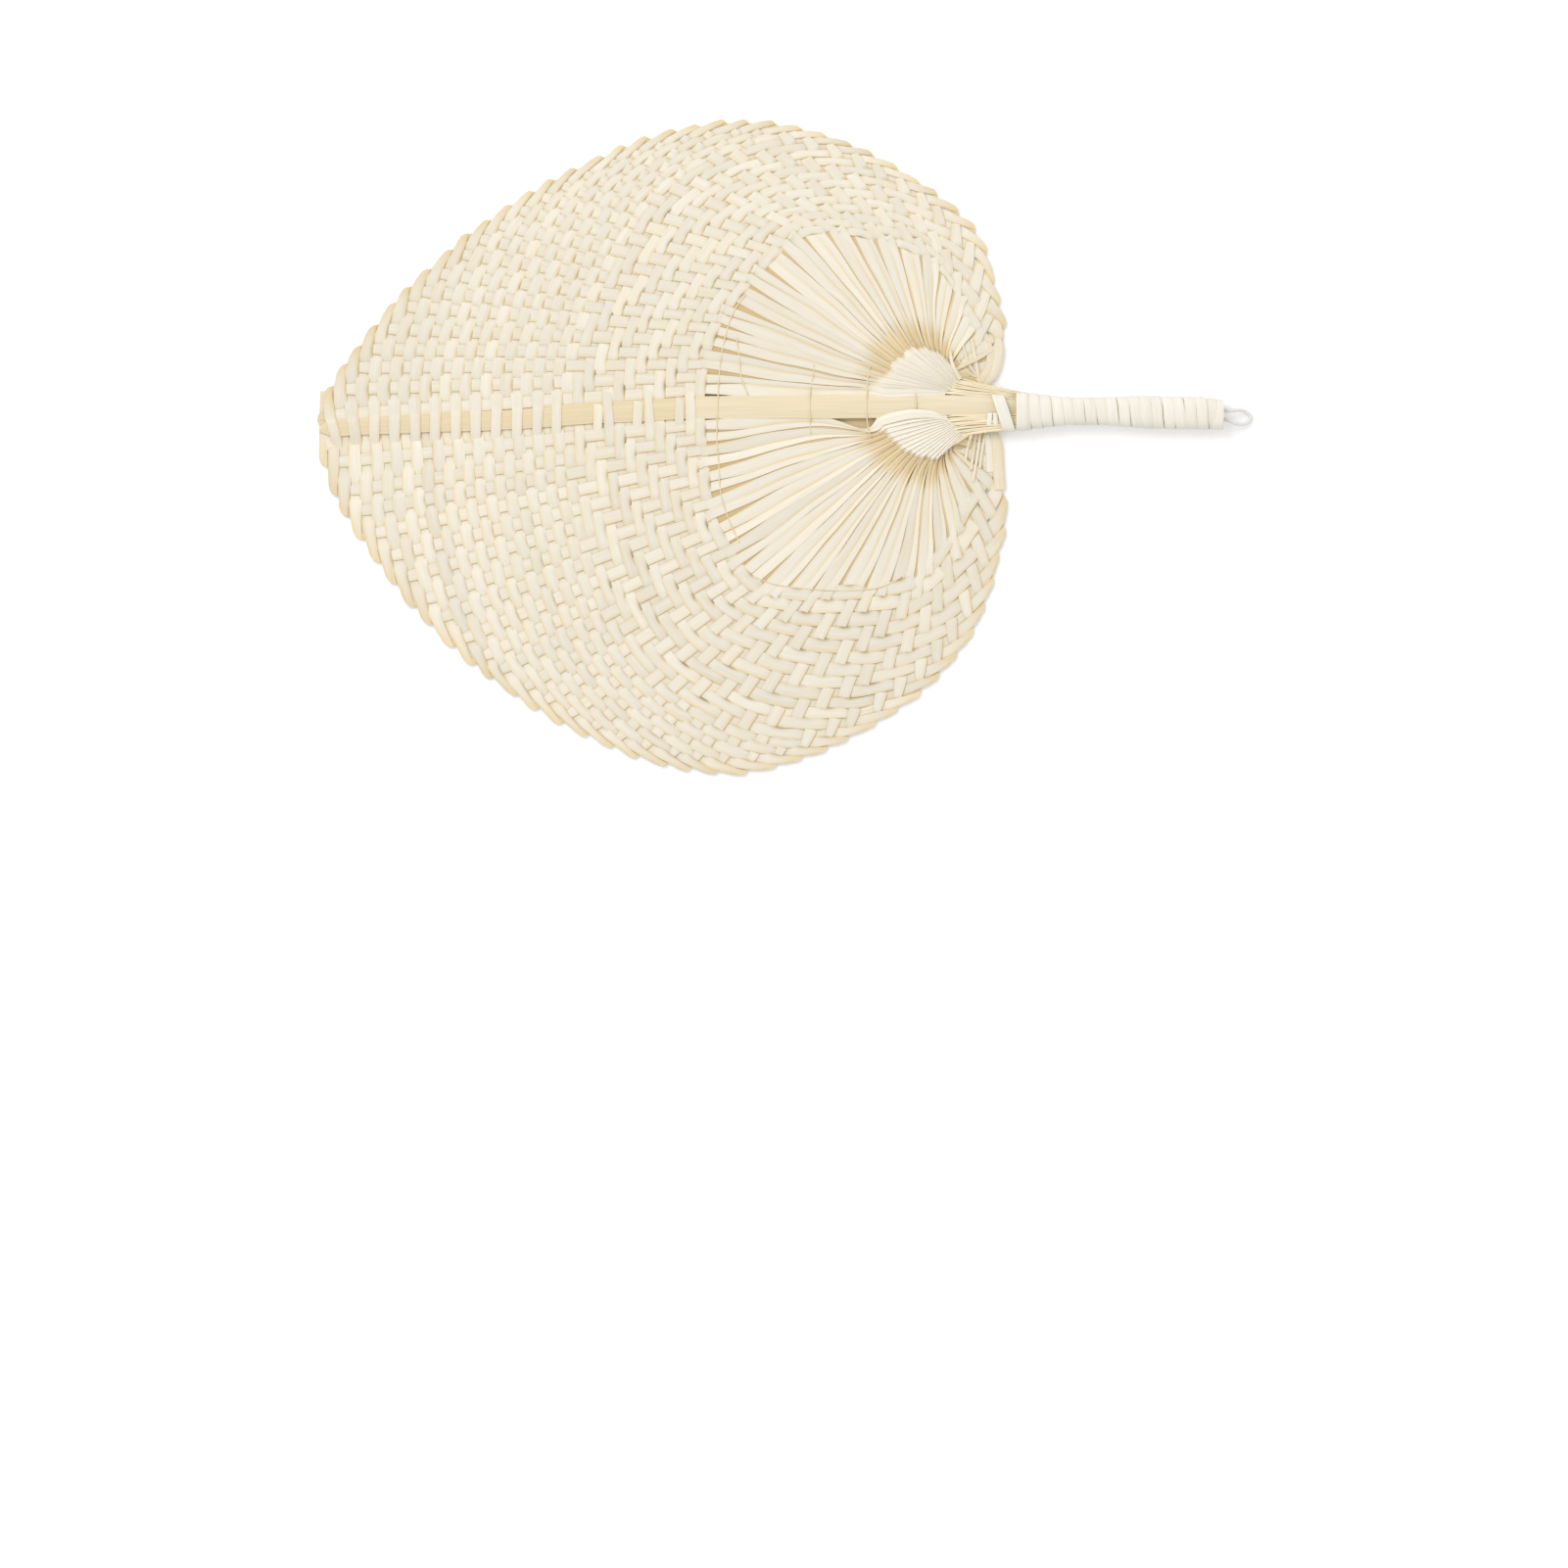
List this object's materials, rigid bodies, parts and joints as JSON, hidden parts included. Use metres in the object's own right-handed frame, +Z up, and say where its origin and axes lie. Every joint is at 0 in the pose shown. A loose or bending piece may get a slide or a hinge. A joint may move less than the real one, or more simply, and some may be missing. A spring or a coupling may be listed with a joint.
{
  "type": "palm leaf fan",
  "caption": "Hand fan woven from one split palm leaf, with a toothed heart-shaped blade, a pleated hub, a strip-bound handle and a hanging loop.",
  "frame": {"origin": "on the table under the middle of the fan's bounding box, its hanging loop left out", "axes": "+X along the handle away from the blade, +Y across the blade, +Z up out of the fan's face"},
  "size_m": [0.3588, 0.2508, 0.0093],
  "materials": {
    "leaf": "dried palm leaf, satin",
    "root": "bleached palm leaf, satin",
    "rib": "dried leaf stalk, smooth",
    "binding": "palm leaf strip, satin",
    "thread": "fine plant fibre",
    "cord": "white braided cord"
  },
  "bodies": {
    "root": {"pleated_root_upper": "root", "leaflet_upper_01": "leaf", "leaflet_upper_02": "leaf", "leaflet_upper_03": "leaf", "leaflet_upper_04": "leaf", "leaflet_upper_05": "leaf", "leaflet_upper_06": "leaf", "leaflet_upper_07": "leaf", "leaflet_upper_08": "leaf", "leaflet_upper_09": "leaf", "leaflet_upper_10": "leaf", "leaflet_upper_11": "leaf", "leaflet_upper_12": "leaf", "leaflet_upper_13": "leaf", "leaflet_upper_14": "leaf", "leaflet_upper_15": "leaf", "leaflet_upper_16": "leaf", "leaflet_upper_17": "leaf", "leaflet_upper_18": "leaf", "leaflet_upper_19": "leaf", "leaflet_upper_20": "leaf", "leaflet_upper_21": "leaf", "leaflet_upper_22": "leaf", "leaflet_upper_23": "leaf", "leaflet_upper_24": "leaf", "pleated_root_lower": "root", "leaflet_lower_01": "leaf", "leaflet_lower_02": "leaf", "leaflet_lower_03": "leaf", "leaflet_lower_04": "leaf", "leaflet_lower_05": "leaf", "leaflet_lower_06": "leaf", "leaflet_lower_07": "leaf", "leaflet_lower_08": "leaf", "leaflet_lower_09": "leaf", "leaflet_lower_10": "leaf", "leaflet_lower_11": "leaf", "leaflet_lower_12": "leaf", "leaflet_lower_13": "leaf", "leaflet_lower_14": "leaf", "leaflet_lower_15": "leaf", "leaflet_lower_16": "leaf", "leaflet_lower_17": "leaf", "leaflet_lower_18": "leaf", "leaflet_lower_19": "leaf", "leaflet_lower_20": "leaf", "leaflet_lower_21": "leaf", "leaflet_lower_22": "leaf", "leaflet_lower_23": "leaf", "leaflet_lower_24": "leaf", "midrib": "rib", "handle_core": "rib", "handle_wrap": "binding", "neck_tie": "binding", "rib_thread_1": "thread", "rib_thread_2": "thread", "rib_thread_3": "thread", "hanging_loop": "cord"}
  },
  "joints": []
}
